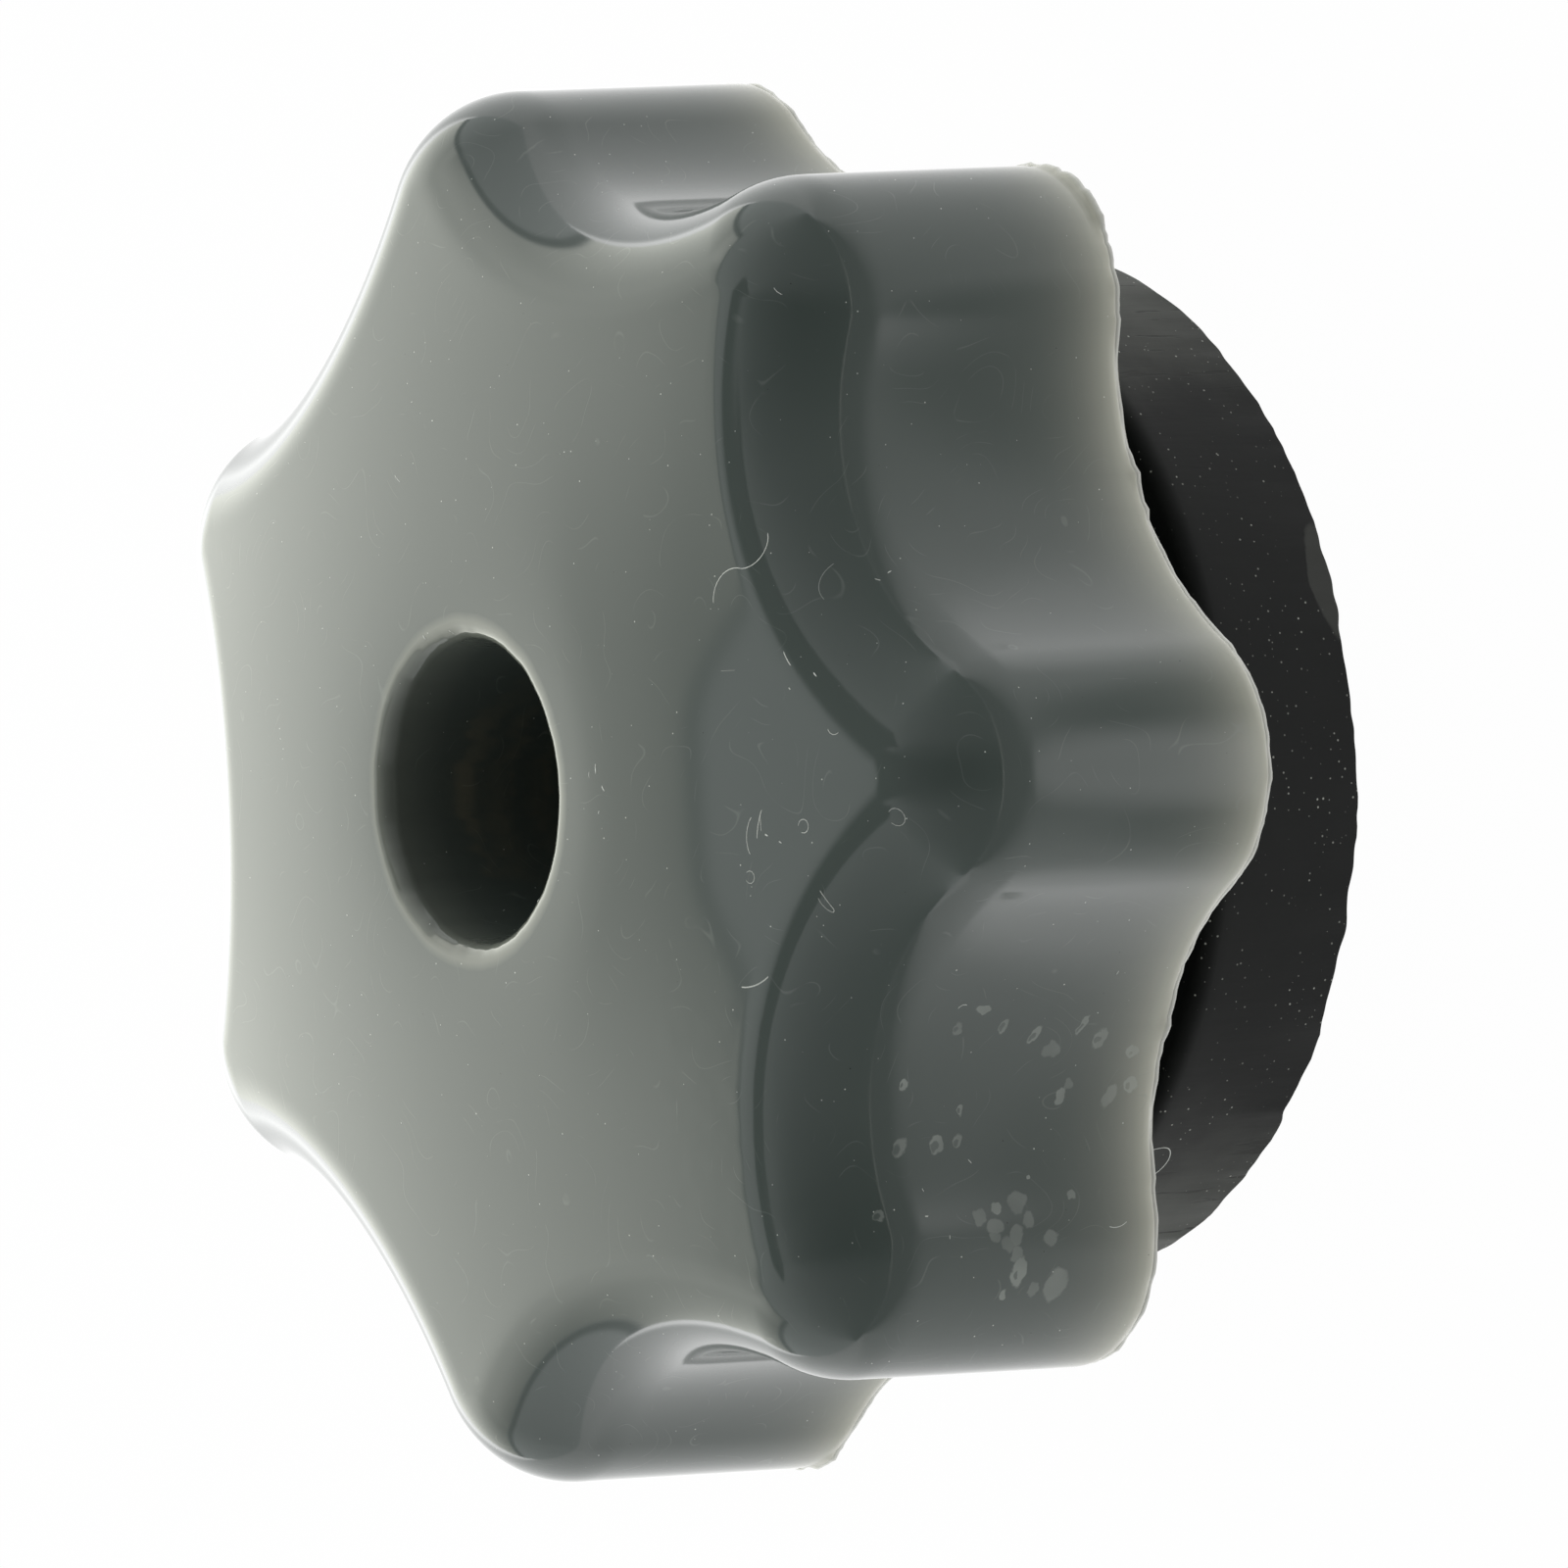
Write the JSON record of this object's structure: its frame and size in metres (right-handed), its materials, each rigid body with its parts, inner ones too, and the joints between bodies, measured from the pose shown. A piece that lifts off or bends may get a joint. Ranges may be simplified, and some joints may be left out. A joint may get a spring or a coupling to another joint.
{
  "type": "star knob",
  "caption": "Lobed plastic star knob with a domed front, a clearance hole through it, a threaded brass bush in its hub and a thick rubber washer behind the grip.",
  "frame": {"origin": "on the thread axis, at the mouth of the threaded bush behind the grip", "axes": "+Z along the thread axis to the crown of the grip, -Y through the tip of one lobe"},
  "size_m": [0.0392, 0.0384, 0.0199],
  "materials": {
    "grip_plastic": "grey moulded thermoplastic, glossy and slightly worn",
    "bush_brass": "turned brass, a little tarnished",
    "washer_rubber": "black cut rubber, matt and dusty"
  },
  "bodies": {
    "root": {"star_knob": "grip_plastic", "threaded_bush": "bush_brass", "rubber_washer": "washer_rubber"}
  },
  "joints": []
}
